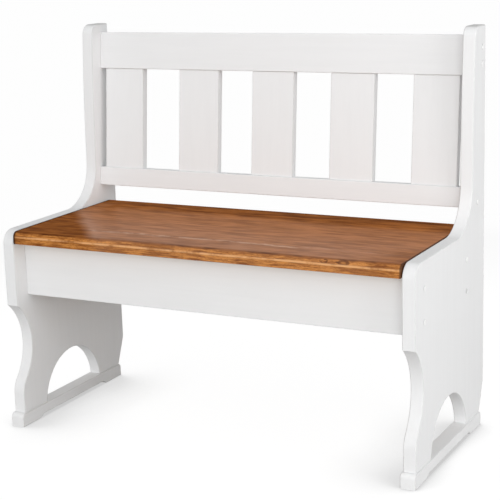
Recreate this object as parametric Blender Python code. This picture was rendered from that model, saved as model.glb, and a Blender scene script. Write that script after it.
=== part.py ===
"""Slatted-back bench in metres: front towards -Y, +Z up, floor at z = 0."""
import math

import bmesh
import bpy
from mathutils import Matrix, Vector

# Overall
WIDTH = 0.978            # over the outer faces of the end panels
PANEL_DEPTH = 0.431      # panel front face to panel rear edge
HEIGHT = 0.886
PANEL_T = 0.028
FIT = 0.0003             # gap left between pieces that touch

# End panel outline
SEAT_TOP = 0.457         # arm and seat are level here
CREST_R = 0.024
POST_TOP = 0.0643        # post width at the crest
POST_MID = 0.0768        # post width halfway up, where its front edge bends
POST_FOOT = 0.0845       # post width carried down to seat height
POST_BEND_RUN = 0.070    # how far the soft bend reaches each way
ARM_HOLLOW_R = 0.098
ARM_NOSE_R = 0.032
LEG_HOLLOW_R = 0.121
LEG_HOLLOW_DEPTH = 0.046
LEG_HOLLOW_Z = 0.190
TOE_R = 0.055
TOE_SET = 0.002
HEEL_Z = 0.096
HEEL_SET = 0.0275
ARCH_R = 0.113
ARCH_SET = 0.2025        # arch centre behind the panel's front face
ARCH_Z = 0.018
PANEL_EDGE_R = 0.004

# Foot rails
FOOT_H = 0.031
FOOT_SIDE = 0.003        # how far it stands proud of each panel face
FOOT_FRONT = 0.0095      # how far it runs out in front of the panel
FOOT_REAR_SET = 0.0235
FOOT_NOSE_R = 0.010
FOOT_EDGE_R = 0.004
FOOT_RELIEF = 0.0075
FRONT_PAD = 0.065
REAR_PAD = 0.068
RELIEF_RUN = 0.018

# Seat and aprons
SEAT_T = 0.026
SEAT_END_GAP = 0.0015
SEAT_REAR_SET = 0.0355
SEAT_NOSE_R = 0.013
SEAT_EDGE_R = 0.002
APRON_T = 0.022
APRON_H = 0.128
APRON_SET = 0.0417       # front apron behind the panel's front face
REAR_APRON_SET = 0.1078  # rear apron's rear face in front of the panel's rear edge
APRON_EDGE_R = 0.0015
CLEAT_W = 0.022
CLEAT_H = 0.024

# Back
LOWER_RAIL_RISE = 0.0433 # front bottom edge of the lower rail above the seat
LOWER_RAIL_SET = 0.0661  # the same edge in front of the panel's rear edge
TOP_RAIL_DROP = 0.0191   # front top edge of the top rail below the crest
TOP_RAIL_SET = 0.0313    # the same edge in front of the panel's rear edge
LOWER_RAIL_H = 0.044
TOP_RAIL_H = 0.0863
RAIL_T = 0.030
RAIL_EDGE_R = 0.002
SLAT_W = 0.1045
SLAT_T = 0.019
SLAT_RECESS = 0.0035     # slat face behind the rail face
SLAT_EDGE_R = 0.0015
TONGUE_T = 0.0095
TONGUE_L = 0.009
GROOVE_T = 0.0101
GROOVE_D = 0.010
SLAT_COUNT = 5
SLAT_END_GAP = 0.0135    # outer slat to end panel
# How far each slat of the bench in view stands off its even place
SLAT_DRIFT = (0.0, 0.0065, 0.0015, 0.0, -0.0025)

# Fasteners
SCREW_R = 0.0025
SCREW_HEAD_R = 0.0048
SCREW_HEAD_T = 0.003
SCREW_BITE = 0.034       # length inside the rail or apron
COUNTERBORE_R = 0.0063
COUNTERBORE_D = 0.010
APRON_SCREW_PITCH = 0.069
APRON_SCREW_DROP = 0.0015
TOP_SCREW_PITCH = 0.035
LOWER_SCREW_UP = 0.0135
LOWER_SCREW_IN = 0.018   # behind the lower rail's face
CAP_R = 0.0066
CAP_STEM_R = 0.0059
CAP_STEM_L = 0.0035
CAP_DOME = 0.0018
CAP_SUNK = 0.0026        # the one cap that was pushed in too far
SMALL_SCREW_R = 0.002
SMALL_HEAD_R = 0.004
SMALL_HEAD_T = 0.0025
CLEAT_SCREW_L = 0.038
SEAT_SCREW_L = 0.040
FOOT_SCREW_L = 0.060
FOOT_SCREW_SINK = 0.012
CLEAT_SCREW_AT = 0.070
SEAT_SCREW_AT = 0.035
ROUND_SIDES = 16

# Derived places
Y_REAR = (PANEL_DEPTH + FOOT_FRONT) / 2
Y_FACE = Y_REAR - PANEL_DEPTH
Y_FOOT = Y_FACE - FOOT_FRONT
Y_FOOT_REAR = Y_REAR - FOOT_REAR_SET
X_OUT = WIDTH / 2
X_IN = X_OUT - PANEL_T
Z_PANEL = FOOT_H + FIT
Z_SEAT = SEAT_TOP - SEAT_T
Z_APRON_TOP = Z_SEAT - FIT
Z_APRON = Z_APRON_TOP - APRON_H
Y_APRON = Y_FACE + APRON_SET
Y_REAR_APRON = Y_REAR - REAR_APRON_SET - APRON_T
Y_CLEAT_FRONT = Y_APRON + APRON_T + FIT
Y_CLEAT_REAR = Y_REAR_APRON - FIT
Y_CLEAT_MID = (Y_CLEAT_FRONT + Y_CLEAT_REAR) / 2
Z_CLEAT = Z_APRON_TOP - CLEAT_H
Z_HOLLOW = SEAT_TOP + ARM_HOLLOW_R
Z_POST_BEND = (Z_HOLLOW + HEIGHT) / 2
Y_BACK = Y_REAR - LOWER_RAIL_SET
Z_BACK = SEAT_TOP + LOWER_RAIL_RISE
BACK_LINE = Vector((LOWER_RAIL_SET - TOP_RAIL_SET, HEIGHT - TOP_RAIL_DROP - Z_BACK))
BACK_UP = BACK_LINE.normalized()
TOP_RAIL_UP = BACK_LINE.length - TOP_RAIL_H

PAINT = (0.80, 0.80, 0.79)
CAP_WHITE = (0.84, 0.84, 0.83)
STAIN = (0.30, 0.145, 0.065)
STEEL = (0.55, 0.55, 0.56)
RAW_WOOD = (0.62, 0.47, 0.30)


def material(name, colour, roughness, metallic=0.0):
    """A Principled material with its own name."""
    mat = bpy.data.materials.new(name)
    mat.use_nodes = True
    shader = mat.node_tree.nodes["Principled BSDF"]
    shader.inputs["Base Color"].default_value = (*colour, 1.0)
    shader.inputs["Roughness"].default_value = roughness
    shader.inputs["Metallic"].default_value = metallic
    return mat


def add_object(name, bm, colour, roughness=0.5, metallic=0.0):
    """Turn a bmesh into a named object whose faces point outwards."""
    bmesh.ops.recalc_face_normals(bm, faces=bm.faces)
    mesh = bpy.data.meshes.new(name)
    bm.to_mesh(mesh)
    bm.free()
    obj = bpy.data.objects.new(name, mesh)
    bpy.context.scene.collection.objects.link(obj)
    mesh.materials.append(material(name, colour, roughness, metallic))
    return obj


def arc(cy, cz, radius, start, end, steps):
    """Points on a circle in the side view, angles in radians from +Y towards +Z."""
    angles = [start + (end - start) * i / steps for i in range(steps + 1)]
    return [Vector((cy + radius * math.cos(a), cz + radius * math.sin(a))) for a in angles]


def fillet(before, corner, after, radius, steps):
    """Replace one corner of an outline by an arc that touches both of its lines."""
    to_before = (before - corner).normalized()
    to_after = (after - corner).normalized()
    half = to_before.angle(to_after) / 2
    centre = corner + (to_before + to_after).normalized() * (radius / math.sin(half))
    first = corner + to_before * (radius / math.tan(half))
    last = corner + to_after * (radius / math.tan(half))
    start = (first - centre)
    turn = start.angle_signed(last - centre)
    points = []
    for i in range(steps + 1):
        a = -turn * i / steps
        spun = Vector((start.x * math.cos(a) - start.y * math.sin(a),
                       start.x * math.sin(a) + start.y * math.cos(a)))
        points.append(centre + spun)
    return points


def outline(corners):
    """Outline from (y, z, radius, steps) corners; a plain Vector is kept as it is."""
    plain = [Vector((c[0], c[1])) for c in corners]
    points = []
    for i, corner in enumerate(corners):
        if len(corner) == 2 or corner[2] == 0:
            points.append(plain[i])
        else:
            points += fillet(plain[i - 1], plain[i], plain[(i + 1) % len(plain)], corner[2], corner[3])
    return points


def prism(points, x0, x1):
    """Extrude a side-view outline from x0 to x1."""
    bm = bmesh.new()
    face = bm.faces.new([bm.verts.new((x0, p[0], p[1])) for p in points])
    grown = bmesh.ops.extrude_face_region(bm, geom=[face])
    moved = [v for v in grown["geom"] if isinstance(v, bmesh.types.BMVert)]
    bmesh.ops.translate(bm, verts=moved, vec=(x1 - x0, 0, 0))
    return bm


def round_rims(bm, x0, x1, radius, segments, runs=None):
    """Round over a prism's edges in its two end planes, or only those that lie along the given runs."""
    def in_plane(edge, x):
        return all(abs(v.co.x - x) < 1e-6 for v in edge.verts)

    def on_run(edge):
        ends = [Vector((v.co.y, v.co.z)) for v in edge.verts]
        return any(all(min((end - a).length, (end - b).length) < 1e-6 for end in ends) for a, b in runs)
    rims = [e for e in bm.edges if in_plane(e, x0) or in_plane(e, x1)]
    if runs:
        rims = [e for e in rims if on_run(e)]
    bmesh.ops.bevel(bm, geom=rims, offset=radius, offset_type="OFFSET", segments=segments,
                    profile=0.5, affect="EDGES", clamp_overlap=True)


def lathe(profile, origin, direction, sides=ROUND_SIDES):
    """Closed solid of revolution: profile is (distance along, radius), ends on the axis."""
    bm = bmesh.new()
    verts = [bm.verts.new((radius, 0, along)) for along, radius in profile]
    edges = [bm.edges.new(pair) for pair in zip(verts, verts[1:])]
    bmesh.ops.spin(bm, geom=verts + edges, cent=(0, 0, 0), axis=(0, 0, 1),
                   angle=math.tau, steps=sides, use_merge=True)
    bmesh.ops.remove_doubles(bm, verts=bm.verts, dist=1e-6)
    turn = Vector((0, 0, 1)).rotation_difference(Vector(direction)).to_matrix().to_4x4()
    bmesh.ops.transform(bm, verts=bm.verts, matrix=Matrix.Translation(origin) @ turn)
    return bm


def join(parts):
    """Put several separate bmesh solids into one."""
    whole = bmesh.new()
    for part in parts:
        mesh = bpy.data.meshes.new("part")
        part.to_mesh(mesh)
        part.free()
        whole.from_mesh(mesh)
        bpy.data.meshes.remove(mesh)
    return whole


def drill(target, cutters):
    """Cut the joined cutters out of a piece."""
    bm = join(cutters)
    bmesh.ops.recalc_face_normals(bm, faces=bm.faces)
    mesh = bpy.data.meshes.new(target.name + "_holes")
    bm.to_mesh(mesh)
    bm.free()
    tool = bpy.data.objects.new(mesh.name, mesh)
    bpy.context.scene.collection.objects.link(tool)
    tool.hide_render = True
    tool.display_type = "WIRE"
    cut = target.modifiers.new("holes", "BOOLEAN")
    cut.operation = "DIFFERENCE"
    cut.solver = "EXACT"
    cut.object = tool


def back_point(behind, up):
    """Side-view point in the leaning back: distance behind its face, distance up the slope."""
    return Vector((Y_BACK, Z_BACK)) + up * BACK_UP + behind * Vector((BACK_UP.y, -BACK_UP.x))


def panel_outline():
    """Side view of an end panel, from the crest round the back, along the foot and up the front."""
    knee_drop = math.sqrt(LEG_HOLLOW_R ** 2 - (LEG_HOLLOW_R - LEG_HOLLOW_DEPTH) ** 2)
    hollow_y = Y_FACE + LEG_HOLLOW_DEPTH - LEG_HOLLOW_R
    toe_y = Y_FACE + TOE_SET + TOE_R
    meet = math.acos((toe_y - hollow_y) / (LEG_HOLLOW_R + TOE_R))
    toe_z = LEG_HOLLOW_Z - (LEG_HOLLOW_R + TOE_R) * math.sin(meet)
    knee = math.asin(knee_drop / LEG_HOLLOW_R)
    spring = math.asin((Z_PANEL - ARCH_Z) / ARCH_R)
    rear = [(Y_REAR, HEIGHT, PANEL_EDGE_R, 2), (Y_REAR, HEEL_Z, 0.020, 2), (Y_REAR - HEEL_SET, Z_PANEL)]
    arch = arc(Y_FACE + ARCH_SET, ARCH_Z, ARCH_R, spring, math.pi - spring, 22)
    toe = arc(toe_y, toe_z, TOE_R, math.pi, math.pi - meet, 4)
    leg = arc(hollow_y, LEG_HOLLOW_Z, LEG_HOLLOW_R, -meet, knee, 12)[1:]
    foot = Vector((Y_REAR - POST_FOOT, SEAT_TOP))
    bend = Vector((Y_REAR - POST_MID, Z_POST_BEND))
    crest = Vector((Y_REAR - POST_TOP, HEIGHT))
    bend_r = POST_BEND_RUN * math.tan((foot - bend).angle(crest - bend) / 2)
    front = [
        (Y_FACE, SEAT_TOP, ARM_NOSE_R, 6),
        (*foot, ARM_HOLLOW_R, 12),
        (*bend, bend_r, 3),
        (*crest, CREST_R, 6),
    ]
    base = [(p.x, p.y) for p in arch]
    base.append((Y_FACE + TOE_SET, Z_PANEL))
    base += [(p.x, p.y) for p in toe + leg]
    return outline(rear + base + front)


def foot_outline():
    """Side view of a foot rail: rounded noses on top, two pads with a shallow relief between."""
    def ogee(y0, y1, z0, z1):
        steps = 6
        shares = [i / steps for i in range(steps + 1)]
        return [(y0 + (y1 - y0) * s, z0 + (z1 - z0) * (1 - math.cos(math.pi * s)) / 2) for s in shares]
    front = Y_FOOT + FRONT_PAD
    rear = Y_FOOT_REAR - REAR_PAD
    relief = ogee(rear, rear - RELIEF_RUN, 0, FOOT_RELIEF) + ogee(front + RELIEF_RUN, front, FOOT_RELIEF, 0)
    corners = [
        (Y_FOOT, 0.0),
        (Y_FOOT, FOOT_H, FOOT_NOSE_R, 4),
        (Y_FOOT_REAR, FOOT_H, FOOT_NOSE_R, 4),
        (Y_FOOT_REAR, 0.0),
    ]
    return outline(corners + relief)


def box_outline(y0, y1, z0, z1, radius, steps=2):
    """Rectangle with rounded corners."""
    corners = [(y0, z0), (y0, z1), (y1, z1), (y1, z0)]
    return outline([(y, z, radius, steps) for y, z in corners])


def rail_outline(bottom, height, groove_side):
    """Section of a back rail with the slat groove in its top (+1) or bottom (-1) edge."""
    middle = SLAT_RECESS + SLAT_T / 2
    top = bottom + height
    level = top if groove_side > 0 else bottom
    floor = level - groove_side * GROOVE_D
    groove = [(middle - GROOVE_T / 2, level), (middle - GROOVE_T / 2, floor),
              (middle + GROOVE_T / 2, floor), (middle + GROOVE_T / 2, level)]
    near_level = [(0, level, RAIL_EDGE_R, 2)] + groove + [(RAIL_T, level, RAIL_EDGE_R, 2)]
    other = bottom if groove_side > 0 else top
    far_level = [(RAIL_T, other, RAIL_EDGE_R, 2), (0, other, RAIL_EDGE_R, 2)]
    return [back_point(*p) for p in outline(near_level + far_level)]


def slat_outline():
    """Side view of a slat with its two tongues."""
    bottom = LOWER_RAIL_H + FIT
    top = TOP_RAIL_UP - FIT
    face, back = SLAT_RECESS, SLAT_RECESS + SLAT_T
    inner, outer = face + (SLAT_T - TONGUE_T) / 2, back - (SLAT_T - TONGUE_T) / 2
    low, high = bottom - TONGUE_L, top + TONGUE_L
    corners = [(face, bottom), (face, top), (inner, top), (inner, high), (outer, high), (outer, top),
               (back, top), (back, bottom), (outer, bottom), (outer, low), (inner, low), (inner, bottom)]
    return [back_point(*p) for p in corners]


def screw_profile(length, shank_r, head_r, head_t):
    """Flat-topped screw along its own axis: head at 0, with a drive recess, point at the far end."""
    return [(head_t * 0.5, 0.0), (0.0, head_r * 0.45), (0.0, head_r), (head_t * 0.5, head_r),
            (head_t, shank_r), (length - 2 * shank_r, shank_r), (length, 0.0)]


def screw(name, origin, direction, length, shank_r, head_r, head_t):
    """One screw whose head top is at origin and whose point lies along direction."""
    profile = screw_profile(length, shank_r, head_r, head_t)
    return add_object(name, lathe(profile, origin, direction, 12), STEEL, 0.35, 1.0)


def bore(origin, direction, steps):
    """Stepped hole cutter: steps are (distance along, radius), starting outside the piece."""
    ends = [(steps[0][0], 0.0)] + steps + [(steps[-1][0], 0.0)]
    return lathe(ends, origin, direction)


def panel_screws():
    """Name, y and z of the seven screw places on one panel, and the piece each one holds."""
    apron_mid = Z_APRON + APRON_H / 2 - APRON_SCREW_DROP
    half = APRON_SCREW_PITCH / 2
    top_mid = TOP_RAIL_UP + TOP_RAIL_H / 2
    high = back_point(RAIL_T / 2, top_mid + TOP_SCREW_PITCH / 2)
    low = back_point(RAIL_T / 2, top_mid - TOP_SCREW_PITCH / 2)
    single = back_point(LOWER_SCREW_IN, LOWER_SCREW_UP)
    return [
        ("top_rail_a", high.x, high.y, "top_rail"),
        ("top_rail_b", low.x, low.y, "top_rail"),
        ("lower_rail", single.x, single.y, "lower_rail"),
        ("front_apron_a", Y_APRON + APRON_T / 2, apron_mid + half, "front_apron"),
        ("front_apron_b", Y_APRON + APRON_T / 2, apron_mid - half, "front_apron"),
        ("rear_apron_a", Y_REAR_APRON + APRON_T / 2, apron_mid + half, "rear_apron"),
        ("rear_apron_b", Y_REAR_APRON + APRON_T / 2, apron_mid - half, "rear_apron"),
    ]


def build_panels(holes):
    """Both end panels."""
    for side, name in ((-1, "left"), (1, "right")):
        bm = prism(panel_outline(), side * X_IN, side * X_OUT)
        round_rims(bm, side * X_IN, side * X_OUT, PANEL_EDGE_R, 2)
        panel = add_object("end_panel_" + name, bm, PAINT, 0.45)
        holes[panel.name] = (panel, [])


def build_feet(holes):
    """Both foot rails."""
    for side, name in ((-1, "left"), (1, "right")):
        inner, outer = side * (X_IN - FOOT_SIDE), side * (X_OUT + FOOT_SIDE)
        bm = prism(foot_outline(), inner, outer)
        round_rims(bm, inner, outer, FOOT_EDGE_R, 2)
        foot = add_object("foot_rail_" + name, bm, PAINT, 0.45)
        holes[foot.name] = (foot, [])


def build_seat(holes):
    """Seat board, both aprons and the two cleats."""
    half = X_IN - SEAT_END_GAP
    section = outline([
        (Y_FACE, Z_SEAT, SEAT_EDGE_R, 2),
        (Y_FACE, SEAT_TOP, SEAT_NOSE_R, 6),
        (Y_REAR - SEAT_REAR_SET, SEAT_TOP, SEAT_EDGE_R, 2),
        (Y_REAR - SEAT_REAR_SET, Z_SEAT, SEAT_EDGE_R, 2),
    ])
    bm = prism(section, -half, half)
    round_rims(bm, -half, half, SEAT_EDGE_R / 2, 1)
    seat = add_object("seat_board", bm, STAIN, 0.4)
    holes[seat.name] = (seat, [])
    for name, y in (("front_apron", Y_APRON), ("rear_apron", Y_REAR_APRON)):
        section = box_outline(y, y + APRON_T, Z_APRON, Z_APRON_TOP, APRON_EDGE_R)
        apron = add_object(name, prism(section, -X_IN + FIT, X_IN - FIT), PAINT, 0.45)
        holes[name] = (apron, [])
    for side, name in ((-1, "left"), (1, "right")):
        wall = side * (X_IN - FIT)
        section = box_outline(Y_CLEAT_FRONT, Y_CLEAT_REAR, Z_CLEAT, Z_APRON_TOP, APRON_EDGE_R)
        bm = prism(section, wall, wall - side * CLEAT_W)
        cleat = add_object("seat_cleat_" + name, bm, RAW_WOOD, 0.6)
        holes[cleat.name] = (cleat, [])


def build_back(holes):
    """Two rails and five slats that stand in their grooves."""
    for name, bottom, height, groove_side in (("lower_rail", 0, LOWER_RAIL_H, 1),
                                              ("top_rail", TOP_RAIL_UP, TOP_RAIL_H, -1)):
        bm = prism(rail_outline(bottom, height, groove_side), -X_IN + FIT, X_IN - FIT)
        rail = add_object(name, bm, PAINT, 0.45)
        holes[name] = (rail, [])
    section = slat_outline()
    long_edges = [(section[0], section[1]), (section[6], section[7])]
    first = -X_IN + SLAT_END_GAP + SLAT_W / 2
    pitch = -2 * first / (SLAT_COUNT - 1)
    for i, drift in enumerate(SLAT_DRIFT):
        middle = first + i * pitch + drift
        x0, x1 = middle - SLAT_W / 2, middle + SLAT_W / 2
        bm = prism(section, x0, x1)
        round_rims(bm, x0, x1, SLAT_EDGE_R, 2, long_edges)
        add_object("back_slat_%d" % (i + 1), bm, PAINT, 0.45)


def build_panel_fasteners(holes):
    """Screws through the panels with their holes and their caps."""
    head_depth = COUNTERBORE_D - FIT
    length = PANEL_T - head_depth + SCREW_BITE
    for side, side_name in ((-1, "left"), (1, "right")):
        panel_holes = holes["end_panel_" + side_name][1]
        for place, y, z, held in panel_screws():
            inward = (-side, 0, 0)
            face = Vector((side * X_OUT, y, z))
            head = face + Vector(inward) * (head_depth - SCREW_HEAD_T)
            name = "%s_%s" % (place, side_name)
            screw("screw_" + name, head, inward, length + SCREW_HEAD_T, SCREW_R, SCREW_HEAD_R, SCREW_HEAD_T)
            panel_holes.append(bore(face, inward, [
                (-0.004, COUNTERBORE_R), (COUNTERBORE_D, COUNTERBORE_R),
                (COUNTERBORE_D, SCREW_R + FIT), (PANEL_T + 0.004, SCREW_R + FIT)]))
            reach = PANEL_T + SCREW_BITE + 2 * FIT
            holes[held][1].append(bore(face, inward, [
                (PANEL_T - 0.002, SCREW_R + FIT), (reach, SCREW_R + FIT)]))
            sunk = CAP_SUNK if name == "rear_apron_b_right" else 0.0
            build_cap("cap_" + name, face + Vector(inward) * sunk, (side, 0, 0), sunk > 0)


def build_cap(name, origin, outward, inside):
    """Domed cap over a counterbore; one that sits inside has no rim on the face."""
    rim = CAP_STEM_R if inside else CAP_R
    profile = [(-CAP_STEM_L, 0.0), (-CAP_STEM_L, CAP_STEM_R)]
    if not inside:
        profile.append((FIT, CAP_STEM_R))
    profile += [(FIT, rim), (FIT + CAP_DOME * 0.35, rim * 0.97), (FIT + CAP_DOME * 0.75, rim * 0.75),
                (FIT + CAP_DOME * 0.95, rim * 0.4), (FIT + CAP_DOME, 0.0)]
    add_object(name, lathe(profile, origin, outward), CAP_WHITE, 0.4)


def build_small_fasteners(holes):
    """Screws of the cleats and of the foot rails."""
    shank = SMALL_SCREW_R + FIT
    for side, side_name in ((-1, "left"), (1, "right")):
        cleat = holes["seat_cleat_" + side_name][1]
        panel = holes["end_panel_" + side_name][1]
        foot = holes["foot_rail_" + side_name][1]
        outward = (side, 0, 0)
        up = (0, 0, 1)
        for letter, sign in (("a", -1), ("b", 1)):
            inner = Vector((side * (X_IN - FIT - CLEAT_W), Y_CLEAT_MID + sign * CLEAT_SCREW_AT,
                            Z_CLEAT + CLEAT_H / 2))
            screw("screw_cleat_%s_%s" % (letter, side_name), inner + Vector(outward) * FIT, outward,
                  CLEAT_SCREW_L, SMALL_SCREW_R, SMALL_HEAD_R, SMALL_HEAD_T)
            sink = SMALL_HEAD_T + 2 * FIT
            head = SMALL_HEAD_R + FIT
            cleat.append(bore(inner, outward, [(-0.002, head), (sink, head), (sink, shank),
                                               (CLEAT_W + 0.002, shank)]))
            panel.append(bore(inner, outward, [(CLEAT_W - 0.0015, shank),
                                               (CLEAT_SCREW_L + 3 * FIT, shank)]))
            below = Vector((side * (X_IN - FIT - CLEAT_W / 2), Y_CLEAT_MID + sign * SEAT_SCREW_AT, Z_CLEAT))
            screw("screw_seat_%s_%s" % (letter, side_name), below + Vector(up) * FIT, up,
                  SEAT_SCREW_L, SMALL_SCREW_R, SMALL_HEAD_R, SMALL_HEAD_T)
            cleat.append(bore(below, up, [(-0.002, head), (sink, head), (sink, shank),
                                          (CLEAT_H + 0.002, shank)]))
            holes["seat_board"][1].append(bore(below, up, [(CLEAT_H - 0.0015, shank),
                                                           (SEAT_SCREW_L + 3 * FIT, shank)]))
        for letter, y in (("front", Y_FOOT + FRONT_PAD * 0.62), ("rear", Y_FOOT_REAR - REAR_PAD * 0.58)):
            floor = Vector((side * (X_OUT - PANEL_T / 2), y, 0))
            head = floor + Vector(up) * (FOOT_SCREW_SINK - SCREW_HEAD_T - FIT)
            screw("screw_foot_%s_%s" % (letter, side_name), head, up,
                  FOOT_SCREW_L, SCREW_R, SCREW_HEAD_R, SCREW_HEAD_T)
            wide = SCREW_R + FIT
            foot.append(bore(floor, up, [(-0.003, SCREW_HEAD_R + 2 * FIT),
                                         (FOOT_SCREW_SINK, SCREW_HEAD_R + 2 * FIT),
                                         (FOOT_SCREW_SINK, wide), (FOOT_H + 0.003, wide)]))
            tip = FOOT_SCREW_SINK - SCREW_HEAD_T + FOOT_SCREW_L
            panel.append(bore(floor, up, [(FOOT_H - 0.002, wide), (tip + FIT, wide)]))


def main():
    """Clear the scene and build every piece."""
    for obj in list(bpy.data.objects):
        bpy.data.objects.remove(obj)
    holes = {}
    build_panels(holes)
    build_feet(holes)
    build_seat(holes)
    build_back(holes)
    build_panel_fasteners(holes)
    build_small_fasteners(holes)
    for piece, cutters in holes.values():
        if cutters:
            drill(piece, cutters)


main()
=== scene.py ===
"""Slatted-back bench: the painted boards, stained seat and fittings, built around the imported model.

Metres, front towards -Y, +Z up, floor at z = 0.
"""

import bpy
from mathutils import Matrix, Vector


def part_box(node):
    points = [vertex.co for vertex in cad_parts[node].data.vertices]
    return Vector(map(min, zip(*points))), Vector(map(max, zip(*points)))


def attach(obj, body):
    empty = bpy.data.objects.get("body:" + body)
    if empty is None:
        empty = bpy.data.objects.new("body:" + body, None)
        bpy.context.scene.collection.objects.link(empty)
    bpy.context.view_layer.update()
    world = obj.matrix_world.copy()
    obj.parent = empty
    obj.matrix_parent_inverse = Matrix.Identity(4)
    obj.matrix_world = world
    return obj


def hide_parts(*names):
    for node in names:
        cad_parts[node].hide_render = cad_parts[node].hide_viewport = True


bl_info = {
    "name": "Slatted-back bench",
    "version": (1, 0, 0),
    "blender": (4, 5, 0),
    "location": "3D View > Sidebar > Bench",
    "description": "Builds a painted bench with a stained seat, one piece or group of like pieces at a time",
    "category": "Object",
}

import math

import bmesh
import bpy
from bpy.props import FloatProperty, FloatVectorProperty, IntProperty, PointerProperty
from mathutils import Matrix, Vector

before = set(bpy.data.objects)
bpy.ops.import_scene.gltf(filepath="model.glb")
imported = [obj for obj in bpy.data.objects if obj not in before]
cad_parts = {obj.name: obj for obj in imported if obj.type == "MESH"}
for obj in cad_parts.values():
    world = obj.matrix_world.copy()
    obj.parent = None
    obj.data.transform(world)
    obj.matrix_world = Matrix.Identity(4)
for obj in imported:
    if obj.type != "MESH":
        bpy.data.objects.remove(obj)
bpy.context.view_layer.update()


def middle_of(node):
    """Middle of a node's box."""
    return [(a + b) / 2 for a, b in zip(*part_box(node))]


BODY = "root"
SIDES = ((-1, "left"), (1, "right"))
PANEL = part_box("end_panel_right")
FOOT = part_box("foot_rail_right")
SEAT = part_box("seat_board")
FRONT_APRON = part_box("front_apron")
LOWER_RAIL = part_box("lower_rail")
DEEP_CAP_Y = middle_of("cap_rear_apron_b_right")[1]


# Sizes and colours

def amount(name, default, description, **more):
    """A number that is never negative."""
    return FloatProperty(name=name, description=description, default=default, min=0.0, **more)


def length(name, default, description):
    """A size in metres."""
    return amount(name, default, description, unit="LENGTH")


def share(name, default, description):
    """A strength between nothing and all."""
    return amount(name, default, description, max=1.0, subtype="FACTOR")


def angle(name, degrees, description):
    """An angle, given in degrees."""
    return FloatProperty(name=name, description=description, default=math.radians(degrees),
                         subtype="ANGLE", unit="ROTATION")


def colour(name, default, description):
    """A colour that the user can pick."""
    return FloatVectorProperty(name=name, description=description, default=default, min=0.0, max=1.0,
                               size=3, subtype="COLOR")


class BenchPanelSizes(bpy.types.PropertyGroup):
    """Outline of the end panels and their foot rails"""
    crest_radius: length("Crest radius", 0.024, "Rounding of the post's top front corner")
    post_top: length("Post width at crest", 0.0673, "Front to back, at the top of the post")
    post_mid: length("Post width halfway", 0.0785, "Front to back, where the post's front edge bends")
    post_foot: length("Post width at seat", 0.0845, "Front to back, carried down to seat height")
    bend_run: length("Bend length", 0.070, "How far the soft bend of the post reaches each way")
    arm_hollow: length("Arm hollow radius", 0.098, "Curve from the post down to the arm")
    arm_nose: length("Arm nose radius", 0.032, "Rounding at the front of the arm")
    leg_hollow: length("Leg hollow radius", 0.121, "Curve cut into the front of the leg")
    leg_hollow_depth: length("Leg hollow depth", 0.046, "How deep the leg is cut in behind its front")
    leg_hollow_height: length("Leg hollow height", 0.190, "Floor to the middle of the leg's hollow")
    toe_radius: length("Toe radius", 0.055, "Curve that brings the leg forward again at its toe")
    toe_set: length("Toe set", 0.002, "Toe behind the front of the panel")
    heel_height: length("Heel height", 0.096, "Floor to where the rear edge turns in")
    heel_set: length("Heel set", 0.0275, "How far the rear edge has come in at the foot")
    arch_radius: length("Arch radius", 0.113, "Round arch in the panel's lower edge")
    arch_set: length("Arch set", 0.2025, "Middle of the arch behind the panel's front")
    arch_height: length("Arch middle height", 0.018, "Floor to the middle of the arch's circle")
    edge_radius: length("Panel edge radius", 0.0025, "Rounding along both faces of the panel")
    foot_nose: length("Foot nose radius", 0.010, "Rounding of the foot rail's upper ends")
    foot_relief: length("Foot relief", 0.0075, "How far the foot rail is lifted between its pads")
    front_pad: length("Front pad length", 0.065, "Pad under the toe")
    rear_pad: length("Rear pad length", 0.068, "Pad under the heel")
    relief_run: length("Relief run", 0.018, "Length of the curve from a pad up to the relief")
    foot_edge: length("Foot edge radius", 0.0025, "Rounding along the foot rail's edges")


class BenchBoardSizes(bpy.types.PropertyGroup):
    """Seat, aprons and the leaning back"""
    seat_nose: length("Seat nose radius", 0.013, "Rounding of the seat's top front edge")
    seat_lip: length("Seat lip", 0.0022, "How far the nose hangs down in front of the apron")
    seat_proud: length("Seat proud", 0.0015, "Nose in front of the panels")
    seat_edge: length("Seat edge radius", 0.002, "Rounding of the seat's other long edges")
    seat_end: length("Seat end radius", 0.002, "Rounding of the seat's two ends")
    apron_edge: length("Apron edge radius", 0.0015, "Rounding of the aprons' long edges")
    lower_rise: length("Lower rail rise", 0.0433, "Seat to the front bottom edge of the lower rail")
    lower_set: length("Lower rail set", 0.0661, "That edge in front of the panel's rear edge")
    top_drop: length("Top rail drop", 0.0191, "Crest down to the front top edge of the top rail")
    top_set: length("Top rail set", 0.0313, "That edge in front of the panel's rear edge")
    lower_height: length("Lower rail height", 0.044, "Along the slope")
    top_height: length("Top rail height", 0.0863, "Along the slope")
    rail_thickness: length("Rail thickness", 0.030, "Front to back")
    rail_edge: length("Rail edge radius", 0.002, "Rounding of the rails' long edges")
    groove_width: length("Groove width", 0.0101, "Groove that holds the slats' tongues")
    groove_depth: length("Groove depth", 0.010, "How deep the groove is cut into a rail")
    slat_width: length("Slat width", 0.1045, "Left to right")
    slat_thickness: length("Slat thickness", 0.019, "Front to back")
    slat_recess: length("Slat recess", 0.0035, "Slat's face behind the rail's face")
    slat_edge: length("Slat edge radius", 0.0015, "Rounding of the slats' long edges")
    slat_end_gap: length("End gap", 0.0135, "Outer slat to the end panel")
    tongue_thickness: length("Tongue thickness", 0.0095, "Tongue at each end of a slat")
    tongue_length: length("Tongue length", 0.009, "How far the tongue runs into its groove")
    slat_drift: FloatVectorProperty(
        name="Slat drift", description="How far each slat stands off its even place, left to right",
        default=(0.0, 0.0065, 0.0015, 0.0, -0.0025), size=5, unit="LENGTH")
    fit: length("Fit", 0.0003, "Gap left between pieces that touch")


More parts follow.
